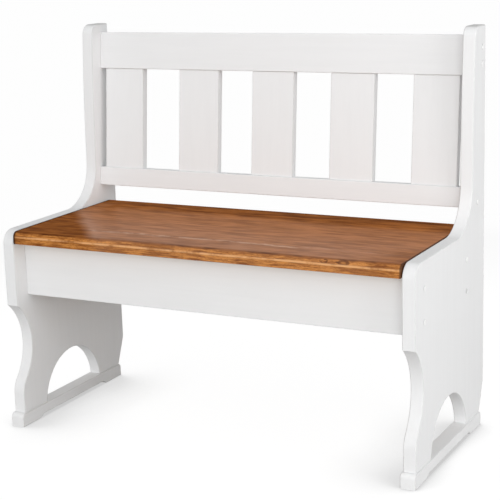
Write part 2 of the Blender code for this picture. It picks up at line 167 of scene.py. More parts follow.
class BenchFittingSizes(bpy.types.PropertyGroup):
    """Screw caps and screws"""
    cap_radius: length("Cap radius", 0.0066, "Rim of a screw cap")
    cap_dome: length("Cap dome", 0.0018, "How far a cap stands off the panel")
    cap_stem_radius: length("Cap stem radius", 0.0059, "Plug behind the cap")
    cap_stem: length("Cap stem length", 0.0035, "How deep the plug goes in")
    recess_radius: length("Recess radius", 0.0063, "Round recess under a cap")
    recess_depth: length("Recess depth", 0.010, "How deep that recess is")
    head_radius: length("Long screw head radius", 0.0048, "Head of the panel and foot screws")
    head_height: length("Long screw head height", 0.003, "Head of the panel and foot screws")
    shank_radius: length("Long screw shank radius", 0.0025, "Shank of the panel and foot screws")
    small_head_radius: length("Short screw head radius", 0.004, "Head of the cleat screws")
    small_head_height: length("Short screw head height", 0.0025, "Head of the cleat screws")
    small_shank_radius: length("Short screw shank radius", 0.002, "Shank of the cleat screws")
    round_sides: IntProperty(name="Sides", description="Sides of a turned piece", default=40, min=12, max=96)


class BenchFinish(bpy.types.PropertyGroup):
    """Colours and surface of the bench"""
    paint: colour("Paint", (0.795, 0.80, 0.805), "White paint on all painted boards")
    paint_shade: colour("Paint in strokes", (0.755, 0.76, 0.765), "Paint where the strokes lie thinner")
    # painted shade: the darker colour that rounded edges are painted to
    edge_shade_colour: colour("Edge shade colour", (0.63, 0.63, 0.63), "Paint where it lies thin on rounded edges")
    # painted shade on the posts' top ends, for the dim light on top faces
    top_end_shade: colour("Top end shade colour", (0.62, 0.62, 0.615), "Duller paint on the posts' upper ends")
    stain_light: colour("Light stain", (0.50, 0.175, 0.042), "Stained seat between the grain lines")
    # also used for the painted shade over the seat's left corner
    dark_stain_and_shade: colour("Dark stain", (0.20, 0.062, 0.016), "Stained seat in its broad dark bands")
    # also used for the painted shade line where the seat's nose meets its top
    grain_line_and_shade: colour("Grain line", (0.095, 0.028, 0.008), "Late wood and pores of the seat")
    # partly end grain, partly painted shadow in the gaps between the seat and the arms
    end_stain_and_gap_shade: colour("Seat end and gap shade", (0.045, 0.018, 0.009), "Seat's ends, where the stain soaked in")
    stain_below: colour("Unstained underside", (0.80, 0.45, 0.19), "Seat's underside, left without stain")
    # painted sheen: paler stain that stands in for the white back mirrored in the seat's varnish
    painted_stain_sheen: colour("Painted sheen on stain", (0.54, 0.21, 0.068), "Seat where it is sat on")
    stain_pale: colour("Pale grain", (0.74, 0.50, 0.36), "The one pale grain line of the seat")
    # partly a painted highlight along the nose
    rubbed_stain_highlight: colour("Nose highlight and rubbed stain", (0.72, 0.38, 0.165), "Arris of the nose, rubbed to the wood")
    nose_light: colour("Light nose", (0.575, 0.234, 0.059), "Light streaks on the seat's front edge")
    nose_dark: colour("Dark nose", (0.21, 0.066, 0.015), "Dark streaks on the seat's front edge")
    cleat_light: colour("Light softwood", (0.66, 0.49, 0.30), "Cleats between the grain lines")
    cleat_dark: colour("Dark softwood", (0.52, 0.34, 0.17), "Cleats in their bands")
    cleat_line: colour("Softwood line", (0.36, 0.20, 0.09), "Late wood and pores of the cleats")
    cap: colour("Cap", (0.82, 0.82, 0.82), "Moulded screw caps")
    # painted shade in the recess of the deep-set cap and round the caps' rims
    cap_shade: colour("Cap shade", (0.16, 0.155, 0.15), "Dirt in the recesses where a cap sits deep")
    zinc: colour("Zinc", (0.62, 0.62, 0.60), "Plated screws")
    zinc_dull: colour("Dull zinc", (0.44, 0.44, 0.41), "Plated screws where the plating has bloomed")
    brush: share("Brush marks", 0.35, "How much the brush marks show in the paint")
    # painted shade: how strongly rounded edges are darkened to the edge colour
    arris: share("Edge shade strength", 0.9, "How much the paint thins along rounded edges")


class BenchStage(bpy.types.PropertyGroup):
    """Camera, lamps and floor"""
    lens: FloatProperty(name="Lens", description="Focal length for a 36 mm sensor", default=100.1, min=20.0,
                        unit="CAMERA")
    place: FloatVectorProperty(name="Camera place", description="Where the camera stands", size=3,
                               default=(1.4003, -2.6574, 1.0932), subtype="TRANSLATION", unit="LENGTH")
    azimuth: angle("Azimuth", 27.377, "Camera's turn to the right of the bench's front")
    elevation: angle("Elevation", 12.918, "Camera's look downwards")
    roll: angle("Roll", -1.748, "Camera's lean about its line of sight")
    sky_front: amount("Sky in front", 1.64, "Even light from the front")
    sky_side: amount("Sky at the sides", 0.3, "Even light from both sides")
    sky_rear: amount("Sky behind", 0.3, "Even light from behind")
    sky_top: amount("Sky overhead", 0.485, "Even light from above")
    front: amount("Front lamp", 245.0, "Power of the large front lamp", unit="POWER")
    side: amount("Side lamp", 24.0, "Power of the nearer lamp on the right", unit="POWER")
    rear: amount("Rear lamp", 85.0, "Power of the low lamp behind on the left", unit="POWER")
    floor: colour("Floor", (0.93, 0.93, 0.93), "Pale studio floor")
    floor_bounce: colour("Floor's bounce", (0.545, 0.533, 0.522), "Floor as it lights the bench from below")


# Node helpers

class Value:
    """A node's output to reckon with: each sign between two values adds a node to their tree."""

    def __init__(self, socket):
        self.socket = socket
        self.tree = socket.id_data

    def __add__(self, other):
        return maths("ADD", self, other)

    def __radd__(self, other):
        return maths("ADD", other, self)

    def __sub__(self, other):
        return maths("SUBTRACT", self, other)

    def __rsub__(self, other):
        return maths("SUBTRACT", other, self)

    def __mul__(self, other):
        return maths("MULTIPLY", self, other)

    def __truediv__(self, other):
        return maths("DIVIDE", self, other)

    def __pow__(self, other):
        return maths("POWER", self, other)

    def __gt__(self, other):
        return maths("GREATER_THAN", self, other)

    def __abs__(self):
        return maths("ABSOLUTE", self)


def feed(node, inputs):
    """Give each named input of a node its number, its colour or its link."""
    for key, value in inputs.items():
        socket = node.inputs[key]
        if isinstance(value, Value):
            value.tree.links.new(value.socket, socket)
        elif socket.type == "RGBA":
            socket.default_value = (*value[:3], 1.0)
        else:
            socket.default_value = value
    return node


def put(tree, kind, inputs=None, **options):
    """Add a node, set its options and feed it."""
    made = tree.nodes.new(kind)
    for name, value in options.items():
        setattr(made, name, value)
    return feed(made, inputs or {})


def take(tree, kind, inputs=None, output=0, **options):
    """Add a node and take one of its outputs."""
    return Value(put(tree, kind, inputs, **options).outputs[output])


def maths(operation, a, b=0.0, clamp=False):
    """One sum of two values, the first or second of them a node's."""
    tree = (a if isinstance(a, Value) else b).tree
    return take(tree, "ShaderNodeMath", {0: a, 1: b}, operation=operation, use_clamp=clamp)


def greatest(a, b):
    """The greater of two values."""
    return maths("MAXIMUM", a, b)


def least(a, b):
    """The smaller of two values."""
    return maths("MINIMUM", a, b)


def vector_maths(operation, a, b=(0.0, 0.0, 0.0), output="Vector"):
    """One sum of two vectors."""
    return take(a.tree, "ShaderNodeVectorMath", {0: a, 1: b}, output, operation=operation)


def combine(tree, x=0.0, y=0.0, z=0.0):
    """A vector from three values."""
    return take(tree, "ShaderNodeCombineXYZ", {0: x, 1: y, 2: z})


def split(vector):
    """The three values of a vector."""
    return [Value(socket) for socket in put(vector.tree, "ShaderNodeSeparateXYZ", {0: vector}).outputs]


def ramp(value, low, high, to_low=0.0, to_high=1.0):
    """Smooth step of a value from low to high."""
    return take(value.tree, "ShaderNodeMapRange",
                {"Value": value, "From Min": low, "From Max": high, "To Min": to_low, "To Max": to_high},
                "Result", interpolation_type="SMOOTHSTEP")


def blend(factor, a, b):
    """Mix two colours."""
    return take(factor.tree, "ShaderNodeMix", {0: factor, 6: a, 7: b}, 2, data_type="RGBA")


def mapped(vector, scale=(1.0, 1.0, 1.0), shift=(0.0, 0.0, 0.0), turn=(0.0, 0.0, 0.0)):
    """Vector scaled on each axis, turned and shifted, so that a pattern runs along one of them."""
    return take(vector.tree, "ShaderNodeMapping",
                {"Vector": vector, "Scale": scale, "Location": shift, "Rotation": turn})


def noise(vector, scale, detail=3.0, roughness=0.55, output="Fac", **lie):
    """Noise between 0 and 1 on a vector; three scales stretch it, and lie shifts or turns it."""
    if isinstance(scale, tuple):
        vector, scale = mapped(vector, scale, **lie), 1.0
    return take(vector.tree, "ShaderNodeTexNoise",
                {"Vector": vector, "Scale": scale, "Detail": detail, "Roughness": roughness}, output)


def attribute(tree, name):
    """A number stored on the mesh."""
    return take(tree, "ShaderNodeAttribute", output="Fac", attribute_name=name)


FLOAT, INTEGER, COLOUR, VECTOR = "NodeSocketFloat", "NodeSocketInt", "NodeSocketColor", "NodeSocketVector"
GEOMETRY, MATERIAL = "NodeSocketGeometry", "NodeSocketMaterial"


def socket_kind(default):
    """The kind of socket that a default value needs."""
    if isinstance(default, tuple):
        return COLOUR if len(default) == 4 else VECTOR
    return INTEGER if isinstance(default, int) else FLOAT


def new_tree(name, kind, inputs, outputs):
    """An empty node group, its inputs in order, and its output node.

    inputs is {label: default value, or kind of socket} and outputs is {label: kind of socket}.
    """
    tree = bpy.data.node_groups.new(name, kind)
    for label, default in inputs.items():
        plain = isinstance(default, str)
        socket = tree.interface.new_socket(name=label, in_out="INPUT",
                                           socket_type=default if plain else socket_kind(default))
        if not plain:
            socket.default_value = default
    for label, socket_type in outputs.items():
        tree.interface.new_socket(name=label, in_out="OUTPUT", socket_type=socket_type)
    given = [Value(socket) for socket in tree.nodes.new("NodeGroupInput").outputs if socket.name]
    return tree, given, tree.nodes.new("NodeGroupOutput")


def use_group(tree, group, inputs):
    """Place a node group in a tree and take its outputs in order."""
    return [Value(socket) for socket in put(tree, "ShaderNodeGroup", inputs, node_tree=group).outputs]


# Shader node groups

def paint_film():
    """Brushed paint: faint strokes along the board, a soft mottle, and painted shade that darkens the
    rounded edges.
    """
    if "Paint film" in bpy.data.node_groups:
        return bpy.data.node_groups["Paint film"]
    tree, given, out = new_tree("Paint film", "ShaderNodeTree", {
        "Vector": VECTOR, "Stroke Stretch": (90.0, 90.0, 6.0), "Paint": (0.8, 0.8, 0.8, 1.0),
        "Thin Paint": (0.76, 0.76, 0.76, 1.0), "Edge Paint": (0.63, 0.63, 0.63, 1.0), "Brush Marks": 0.35,
        "Edge Wear": 0.6, "Base Roughness": 0.45}, {"Color": COLOUR, "Roughness": FLOAT, "Height": FLOAT})
    place, stretch, paint, thin_paint, edge_shade_tint, brush, wear, base = given
    along = vector_maths("MULTIPLY", place, stretch)
    strokes = noise(along, 1.0, 5.0, 0.62)
    hairs = noise(along, 5.5, 2.0, 0.5)
    mottle = noise(place, 7.0, 2.0, 0.5)
    peel = noise(place, 420.0, 1.0, 0.4)
    thin = ramp(strokes * 0.7 + mottle * 0.3, 0.38, 0.66)
    film = blend(thin * brush, paint, thin_paint)
    # painted shade: rounded edges (the arris attribute) are darkened to the edge colour, broken up by the
    # strokes
    edge_shade_mask = ramp(strokes, 0.25, 0.6, 0.55, 1.0) * wear
    feed(out, {"Color": blend(attribute(tree, "arris") * edge_shade_mask, film, edge_shade_tint),
               "Roughness": base + (strokes - 0.5) * 0.16,
               "Height": strokes * 0.55 + (hairs * 0.18 + peel * 0.27)})
    return tree


def wood_grain():
    """Sawn board: bands, growth rings that wander, fibres and short pores, all running along X."""
    if "Wood grain" in bpy.data.node_groups:
        return bpy.data.node_groups["Wood grain"]
    tree, given, out = new_tree("Wood grain", "ShaderNodeTree", {
        "Vector": VECTOR, "Light": (0.5, 0.3, 0.15, 1.0), "Dark": (0.3, 0.15, 0.06, 1.0),
        "Line": (0.12, 0.05, 0.02, 1.0), "Pith Depth": 0.09, "Ring Spacing": 0.006, "Wander": 0.012,
        "Line Strength": 0.5, "Pore Strength": 0.5}, {"Color": COLOUR, "Bands": FLOAT, "Height": FLOAT})
    place, light, dark, line, pith, spacing, wander, line_strength, pore_strength = given
    drift = noise(place, (1.6, 7.0, 7.0), 3.0, 0.5, "Color")
    sway = vector_maths("SUBTRACT", drift, (0.5, 0.5, 0.5))
    warped = vector_maths("ADD", place, vector_maths("MULTIPLY", sway, combine(tree, 0.0, wander, wander)))
    _, y, z = split(warped)
    deep = z + pith
    phase = maths("FRACT", maths("SQRT", y * y + deep * deep) / spacing)
    rings = ramp(phase, 0.25, 0.92) * ramp(phase, 0.92, 1.0, 1.0, 0.0)
    bands = noise(warped, (4.6, 40.0, 40.0), 5.0, 0.62)
    streaks = noise(warped, (15.0, 150.0, 150.0), 4.0, 0.6, shift=(3.0, 1.0, 2.0))
    fibres = noise(place, (26.0, 1100.0, 1100.0), 2.0, 0.6)
    pores = ramp(noise(place, (46.0, 1500.0, 1500.0), 1.0, 0.4, shift=(5.0, 2.0, 7.0)), 0.62, 0.74)
    lumps = noise(warped, (17.0, 52.0, 52.0), 2.0, 0.5, shift=(1.0, 4.0, 2.0))
    tone = bands * 0.46 + streaks * 0.28 + lumps * 0.26
    body = blend(ramp(tone, 0.40, 0.60), light, dark)
    lined = blend(rings * (line_strength * ramp(streaks, 0.3, 0.7, 0.5, 1.0)), body, line)
    fine = maths("ADD", fibres * 0.35, pores * pore_strength, clamp=True)
    feed(out, {"Color": blend(fine * 0.55, lined, line), "Bands": tone,
               "Height": rings * 0.3 - (pores * 0.8 + fibres * 0.25)})
    return tree


# Materials

def material(name, dress, *details):
    """The material of this name, dressed by its function the first time that it is asked for."""
    if name in bpy.data.materials:
        return bpy.data.materials[name]
    made = bpy.data.materials.new(name)
    made.use_nodes = True
    place = take(made.node_tree, "ShaderNodeTexCoord", output="Object")
    dress(made.node_tree.nodes["Principled BSDF"], place, bpy.context.scene.bench_finish, *details)
    return made


def add_bump(shader, height, distance):
    """Raise the surface by a height."""
    feed(shader, {"Normal": take(height.tree, "ShaderNodeBump", {"Height": height, "Distance": distance},
                                 "Normal")})


def painted(shader, place, finish, stretch):
    """White paint whose strokes follow the board; stretch is small along them."""
    tint, rough, height = use_group(place.tree, paint_film(), {
        "Vector": place, "Stroke Stretch": stretch, "Paint": finish.paint, "Thin Paint": finish.paint_shade,
        "Edge Paint": finish.edge_shade_colour, "Brush Marks": finish.brush, "Edge Wear": finish.arris,
        "Base Roughness": 0.56})
    # painted shade: the posts' top ends are painted darker, as top faces are under dim light from above
    ends = ramp(split(place)[2], PANEL[1].z - 0.0035, PANEL[1].z - 0.0005)
    feed(shader, {"Base Color": blend(ends, tint, finish.top_end_shade), "Roughness": rough,
                  "Specular IOR Level": 0.15})
    add_bump(shader, height, 0.00012)


PAINT_LIES = {"upright": ("Painted board upright", (85.0, 85.0, 5.0)),
              "level": ("Painted board level", (5.0, 85.0, 85.0)),
              "front to back": ("Painted foot rail", (85.0, 5.0, 85.0))}


def paint(lie):
    """Paint on boards that lie this way."""
    name, stretch = PAINT_LIES[lie]
    return material(name, painted, stretch)


def stained_seat(shader, place, finish):
    """Brown stain on coarse-grained softwood under a thin satin varnish, rubbed to gold along the nose.
    Painted sheen and shade: the stain is paler in the middle, where the seat would mirror the white back,
    and darker over the left corner and along the back, where it would mirror nothing bright;
    the near-black ends are partly painted shadow."""
    x, y, z = split(place)
    top, low = SEAT[1].z, SEAT[0]
    grain, bands, relief = use_group(place.tree, wood_grain(), {
        "Vector": mapped(place, shift=(0.0, 0.05, -top)), "Light": finish.stain_light,
        "Dark": finish.dark_stain_and_shade, "Line": finish.grain_line_and_shade, "Pith Depth": 0.07, "Ring Spacing": 0.0085,
        "Wander": 0.034, "Line Strength": 0.42, "Pore Strength": 0.5})
    cloud = noise(place, (3.0, 15.0, 15.0), 4.0, 0.6, shift=(0.7, 0.2, 0.0))
    sway = (cloud - 0.5) * 0.06
    # painted sheen and shade: the stain is painted paler in the middle, where the seat would mirror the
    # white back, and darker over the left corner and the strip under the back, where it would mirror nothing
    # bright;
    # the varnish coat is also glossy in the middle and dull there
    corner = vector_maths("DOT_PRODUCT", place, (0.78, 0.625, 0.0), "Value") + 0.3357 + sway * 0.5
    middle = ramp(corner, -0.012, 0.022) * ramp(y + sway, 0.065, 0.125, 1.0, 0.06)
    rear_left = ramp(x, -0.425, -0.395, 0.75, 0.0) * (ramp(y, 0.0, 0.04) * ramp(y, 0.12, 0.17, 1.0, 0.0))
    right_end = ramp(x, 0.33, 0.45) * ramp(y, -0.13, -0.05, 0.5, 0.0)
    middle = greatest(middle, rear_left) * (1.0 - right_end)
    edge = ramp(corner, 0.0, 0.018) * ramp(corner, 0.02, 0.08, 0.30, 0.0)
    # painted sheen: the stain turns paler over the middle mask
    tone = blend(middle * ramp(bands, 0.40, 0.62, 0.44, 0.30), grain, finish.painted_stain_sheen)
    # painted shade: darker stain over the left corner, where the seat would mirror nothing bright
    tone = blend(ramp(corner, -0.012, 0.022, 0.28, 0.0), tone, finish.dark_stain_and_shade)
    # one pale grain line that wanders along the front third, drawn only inside the painted sheen
    off = abs(y + 0.137 + (noise(place, (9.0, 0.0, 0.0), 3.0, 0.6) - 0.5) * 0.05)
    breaks = noise(place, (28.0, 60.0, 0.0), 3.0, 0.6)
    pale = ramp(off, 0.002, 0.009, 1.0, 0.0) * ramp(breaks, 0.40, 0.6, 0.0, 0.50)
    tone = blend(pale * (middle * ramp(x, 0.18, 0.30, 1.0, 0.2)), tone, finish.stain_pale)
    tone = stained_nose(tone, place, finish)
    # a light line along the nose, partly stain rubbed back to the wood and partly a painted highlight, and a
    # darker left end of the nose
    nose = attribute(place.tree, "nose")
    height = z + (cloud - 0.5) * 0.0034
    line = top - 0.0118
    arris = ramp(height, line - 0.0030, line - 0.0004) * ramp(height, line + 0.0004, line + 0.0040, 1.0, 0.0)
    arris = arris * ramp(nose, 0.7, 0.95) * ramp(breaks, 0.30, 0.58, 0.15, 1.0)
    tone = blend(arris, tone, finish.rubbed_stain_highlight)
    tone = blend(ramp(x, -0.468, -0.425, 0.45, 0.0) * ramp(nose, 0.2, 0.6), tone, finish.dark_stain_and_shade)
    # the underside took less stain; the ends are painted near black, partly end grain and partly painted
    # shadow in the gap where the seat meets each arm
    below = ramp(z, low.z + 0.0005, low.z + 0.0020, 1.0, 0.0) * ramp(y, low.y - 0.0010, low.y + 0.0010)
    tone = blend(below, tone, finish.stain_below)
    ends = greatest(ramp(x, SEAT[1].x - 0.0036, SEAT[1].x - 0.0012, 0.0, 0.85),
                    ramp(x, low.x + 0.0035, low.x + 0.0085, 0.95, 0.0))
    gloss = (middle + middle * edge) * ramp(y, -0.17, 0.10, 0.50, 0.20)
    feed(shader, {"Base Color": blend(ends, tone, finish.end_stain_and_gap_shade), "Roughness": 0.50 + bands * 0.14,
                  "Specular IOR Level": 0.0, "Coat Roughness": 0.36,
                  "Coat Weight": 0.02 + gloss * ramp(bands, 0.35, 0.65, 1.15, 0.8)})
    add_bump(shader, relief, 0.00022)


# curled marks on the nose: x, depth below the top, half width, half height
KNOT_MARKS = ((0.297, 0.0058, 0.0070, 0.0030), (0.338, 0.0062, 0.0105, 0.0036))


def stained_nose(tone, place, finish):
    """Nose of the seat: gold streaks that run down to the right, a painted shade line where it meets the
    top, and the curled edges of two knots near the right end."""
    x, _, z = split(place)
    nose = attribute(place.tree, "nose")
    flecks = noise(place, (20.0, 48.0, 250.0), 5.0, 0.75, turn=(0.0, math.radians(-9.0), 0.0))
    dots = noise(place, (150.0, 190.0, 420.0), 2.0, 0.6)
    blotch = noise(place, (16.0, 20.0, 70.0), 3.0, 0.6, shift=(4.0, 0.0, 1.0))
    gold = blend(ramp(flecks, 0.38, 0.58), finish.nose_dark, finish.nose_light)
    gold = blend(ramp(blotch, 0.46, 0.66, 0.0, 0.55), gold, finish.dark_stain_and_shade)
    gold = blend(ramp(dots, 0.50, 0.68, 0.0, 0.5), gold, finish.nose_dark)
    ragged = nose + (flecks - 0.5) * 0.55
    tone = blend(ramp(ragged, 0.50, 0.72), tone, gold)
    # painted shade: a dark line where the nose turns into the top
    lip = ramp(nose, 0.0, 0.30) * ramp(ragged, 0.50, 0.74, 1.0, 0.0)
    tone = blend(lip * ramp(blotch, 0.36, 0.60, 0.9, 0.35), tone, finish.grain_line_and_shade)
    curl = noise(place, (90.0, 60.0, 160.0), 2.0, 0.5)
    for knot_x, drop, wide, tall in KNOT_MARKS:
        apart = combine(place.tree, (x - knot_x) / wide, (z - (SEAT[1].z - drop)) / tall)
        wavy = vector_maths("LENGTH", apart, output="Value") + (curl - 0.5) * 1.4
        hook = ramp(abs(wavy - 1.0), 0.15, 0.55, 0.75, 0.0) * ramp(curl, 0.34, 0.46)
        tone = blend(hook * ramp(nose, 0.25, 0.5), tone, finish.grain_line_and_shade)
    return tone


def raw_wood(shader, place, finish):
    """Unpainted softwood of the cleats."""
    grain, bands, relief = use_group(place.tree, wood_grain(), {
        "Vector": mapped(place, shift=(0.0, 0.0, -SEAT[0].z), turn=(0.0, 0.0, math.radians(90))),
        "Light": finish.cleat_light, "Dark": finish.cleat_dark, "Line": finish.cleat_line,
        "Pith Depth": 0.05, "Ring Spacing": 0.0032, "Wander": 0.012, "Line Strength": 0.5,
        "Pore Strength": 0.15})
    feed(shader, {"Base Color": grain, "Roughness": 0.62 + bands * 0.15})
    add_bump(shader, relief, 0.0003)


def cap_plastic(shader, place, finish):
    """Moulded screw cap: smooth, with painted shade round its rim and over the front part of the one that
    sits deep.
    """
    x, y, _ = split(place)
    outward, face = abs(x), PANEL[1].x
    tint = blend(ramp(noise(place, 260.0, 3.0, 0.5), 0.35, 0.7, 0.0, 0.5), finish.cap, finish.paint_shade)
    # painted shade: the front part of the deep-set cap, in the shadow of its recess's rim, and a thin ring
    # round each cap's rim
    deep = ramp(outward, face - 0.0012, face - 0.0002, 1.0, 0.0)
    ring = ramp(outward, face + 0.0003, face + 0.0010, 0.45, 0.0)
    painted_shade = greatest(deep * ramp(y, DEEP_CAP_Y - 0.0015, DEEP_CAP_Y + 0.0025, 0.9, 0.1), ring * (1.0 - deep))
    feed(shader, {"Base Color": blend(painted_shade, tint, finish.cap_shade),
                  "Roughness": 0.40 + noise(place, 900.0, 2.0) * 0.14})
    add_bump(shader, noise(place, 1400.0, 2.0), 0.00003)


def zinc_plate(shader, place, finish):
    """Bright plated steel with a grainy bloom."""
    bloom = noise(place, 520.0, 4.0, 0.6)
    feed(shader, {"Base Color": blend(ramp(bloom, 0.35, 0.7), finish.zinc, finish.zinc_dull),
                  "Metallic": 1.0, "Roughness": ramp(bloom, 0.3, 0.75, 0.24, 0.48)})
    add_bump(shader, noise(place, 2600.0, 2.0), 0.00002)


# Meshes

WELD = 1e-6             # points closer than this become one
SMOOTH_UP_TO = math.radians(38)
SHARPEST = 0.3          # keeps a mitre at a sharp corner from running far out
DRILL_SIDES = 40
DRILL_OVERRUN = 0.004   # how much longer a drill is than its hole, half of it at each end


def add_object(name, data):
    """An object in the scene, at the origin."""
    obj = bpy.data.objects.new(name, data)
    bpy.context.scene.collection.objects.link(obj)
    return obj


def new_object(name, bm):
    """An object from a bmesh, which is freed."""
    mesh = bpy.data.meshes.new(name)
    bm.to_mesh(mesh)
    bm.free()
    return add_object(name, mesh)


def points_object(name, places, aims=None, spreads=None):
    """Loose points for a node tree to work on, with the way each one faces and how wide it is."""
    mesh = bpy.data.meshes.new(name)
    mesh.from_pydata(places, [], [])
    if aims:
        facing = mesh.attributes.new("aim", "FLOAT_VECTOR", "POINT")
        facing.data.foreach_set("vector", [c for aim in aims for c in aim])
        mesh.attributes.new("spread", "FLOAT", "POINT").data.foreach_set("value", spreads)
    return add_object(name, mesh)


def arc(cy, cz, radius, start, end, steps):
    """Points on a circle in the side view, angles in radians from +Y towards +Z."""
    angles = [start + (end - start) * i / steps for i in range(steps + 1)]
    return [Vector((cy + radius * math.cos(a), cz + radius * math.sin(a))) for a in angles]


def fillet(before, corner, after, radius, steps):
    """Replace one corner of an outline by an arc that touches both of its lines."""
    to_before = (before - corner).normalized()
    to_after = (after - corner).normalized()
    half = to_before.angle(to_after) / 2
    centre = corner + (to_before + to_after).normalized() * (radius / math.sin(half))
    first = corner + to_before * (radius / math.tan(half))
    last = corner + to_after * (radius / math.tan(half))
    start = first - centre
    turn = start.angle_signed(last - centre)
    return [centre + start @ Matrix.Rotation(turn * i / steps, 2) for i in range(steps + 1)]


def outline(corners):
    """Outline from (y, z) or (y, z, radius, steps) corners."""
    plain = [Vector(corner[:2]) for corner in corners]
    points = []
    for i, corner in enumerate(corners):
        if len(corner) == 2:
            points.append(plain[i])
        else:
            points += fillet(plain[i - 1], plain[i], plain[(i + 1) % len(plain)], *corner[2:])
    return points


def inset(points, distance):
    """The outline moved inwards by a distance, mitred at its corners."""
    area = sum(points[i - 1].x * points[i].y - points[i].x * points[i - 1].y for i in range(len(points)))
    turn = 1.0 if area > 0 else -1.0
    moved = []
    for i, point in enumerate(points):
        a = (point - points[i - 1]).normalized()
        b = (points[(i + 1) % len(points)] - point).normalized()
        inward_a, inward_b = Vector((-a.y, a.x)) * turn, Vector((-b.y, b.x)) * turn
        middle = (inward_a + inward_b).normalized()
        moved.append(point + middle * (distance / max(middle.dot(inward_a), SHARPEST)))
    return moved


def board(name, points, x0, x1, radius, steps, nose=None, glued_at=None):
    """A board with its outline in the side view, from x0 to x1, rounded along both faces.

    The attribute "arris" is 1 on rounded edges, and "nose" comes from a function of (y, z).
    glued_at is the height of an underside that stays square because it is glued down.
    """
    low, high = min(x0, x1), max(x0, x1)
    turns = [math.pi / 2 * k / steps for k in range(steps + 1)]
    rings = [(low + radius * (1 - math.sin(t)), radius * (1 - math.cos(t)), t) for t in reversed(turns)]
    rings += [(high - radius * (1 - math.sin(t)), radius * (1 - math.cos(t)), t) for t in turns]
    bm = bmesh.new()
    arris = bm.verts.layers.float.new("arris")
    front = bm.verts.layers.float.new("nose") if nose else None
    loops = []
    for x, distance, turn in rings:
        loop = []
        for point, home in zip(inset(points, distance) if distance else points, points):
            glued = glued_at is not None and home.y < glued_at + WELD
            vert = bm.verts.new((x, point.x, home.y if glued else point.y))
            vert[arris] = math.sin(2 * turn)
            if nose:
                vert[front] = nose(home)
            loop.append(vert)
        loops.append(loop)
    for near, far in zip(loops, loops[1:]):
        for i in range(len(points)):
            j = (i + 1) % len(points)
            bm.faces.new((near[i], near[j], far[j], far[i]))
    bm.faces.new(loops[0])
    bm.faces.new(loops[-1])
    bmesh.ops.remove_doubles(bm, verts=bm.verts, dist=2 * WELD)
    bmesh.ops.recalc_face_normals(bm, faces=bm.faces)
    return new_object(name, bm)


def bake(obj):
    """Keep what the modifiers make as the object's plain mesh."""
    graph = bpy.context.evaluated_depsgraph_get()
    made = bpy.data.meshes.new_from_object(obj.evaluated_get(graph), preserve_all_data_layers=True,
                                           depsgraph=graph)
    old = obj.data
    obj.modifiers.clear()
    obj.data = made
    bpy.data.meshes.remove(old)
    made.name = obj.name


def drill(obj, holes):
    """Cut round recesses: (origin, direction, radius, depth) each."""
    bm = bmesh.new()
    for origin, direction, radius, depth in holes:
        way = Vector(direction)
        turn = Vector((0, 0, 1)).rotation_difference(way).to_matrix().to_4x4()
        place = Matrix.Translation(Vector(origin) + way * (depth / 2 - DRILL_OVERRUN / 2)) @ turn
        bmesh.ops.create_cone(bm, cap_ends=True, segments=DRILL_SIDES, radius1=radius, radius2=radius,
                              depth=depth + DRILL_OVERRUN, matrix=place)
    tool = new_object(obj.name + "_holes", bm)
    cut = obj.modifiers.new("holes", "BOOLEAN")
    cut.operation = "DIFFERENCE"
    cut.solver = "EXACT"
    cut.object = tool
    bake(obj)
    mesh = tool.data
    bpy.data.objects.remove(tool)
    bpy.data.meshes.remove(mesh)


def grow(obj, tree, values):
    """Run a geometry tree on an object with these named values and keep its result."""
    made = obj.modifiers.new(tree.name, "NODES")
    made.node_group = tree
    for item in tree.interface.items_tree:
        if item.item_type == "SOCKET" and item.in_out == "INPUT" and item.name in values:
            made[item.identifier] = values[item.name]
    bake(obj)


def hand_over(obj, nodes, finish=None):
    """Shade a piece smooth over its roundings, give it its material, and put it in place of its nodes."""
    if finish:
        obj.data.materials.clear()
        obj.data.materials.append(finish)
    obj.data.shade_smooth()
    obj.data.set_sharp_from_angle(angle=SMOOTH_UP_TO)
    flats = obj.modifiers.new("flats", "WEIGHTED_NORMAL")
    flats.keep_sharp = True
    flats.weight = 100
    bake(obj)
    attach(obj, BODY)
    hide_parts(*nodes)


# Geometry trees

CAP_STEPS = 9           # rings from a cap's rim to its middle
TONGUE_IN = 0.0002      # a tongue is this much narrower than its slat, so that no two sides share a plane
NEARLY = 0.96           # share of its rounding within which a slat's point counts as edge


def geometry_tree(name, inputs):
    """An empty geometry tree that works on points, with named sizes and a material."""
    tree, given, out = new_tree(name, "GeometryNodeTree",
                                {"Points": GEOMETRY, **inputs, "Material": MATERIAL}, {"Geometry": GEOMETRY})
    tree.is_modifier = True
    return tree, given, out


def send_out(out, instances, finish):
    """End a tree: real geometry with its material."""
    real = take(instances.tree, "GeometryNodeRealizeInstances", {"Geometry": instances})
    done = take(real.tree, "GeometryNodeSetMaterial", {"Geometry": real, "Material": finish})
    feed(out, {"Geometry": done})


def welded(solid):
    """A mesh whose touching points are one."""
    return take(solid.tree, "GeometryNodeMergeByDistance", {"Geometry": solid, "Distance": WELD})


def here(tree):
    """The three values of each point's own place."""
    return split(take(tree, "GeometryNodeInputPosition"))


def turned_solid(tree, sides, profile):
    """A closed turned solid about Z from (radius, height) value pairs that start and end on the axis."""
    count = len(profile)
    grid = take(tree, "GeometryNodeMeshGrid", {"Size X": 1.0, "Size Y": 1.0, "Vertices X": count,
                                               "Vertices Y": sides + 1.0})
    x, y, _ = here(tree)
    switch = put(tree, "GeometryNodeIndexSwitch", data_type="VECTOR")
    while len(switch.index_switch_items) < count:
        switch.index_switch_items.new()
    feed(switch, {0: maths("ROUND", (x + 0.5) * (count - 1.0))})
    for i, (radius, height) in enumerate(profile):
        feed(switch, {i + 1: combine(tree, radius, 0.0, height)})
    spun = take(tree, "ShaderNodeVectorRotate", {"Vector": Value(switch.outputs[0]),
                                                 "Angle": (y + 0.5) * math.tau}, rotation_type="Z_AXIS")
    shaped = take(tree, "GeometryNodeSetPosition", {"Geometry": grid, "Position": spun})
    return take(tree, "GeometryNodeFlipFaces", {"Mesh": welded(shaped)})


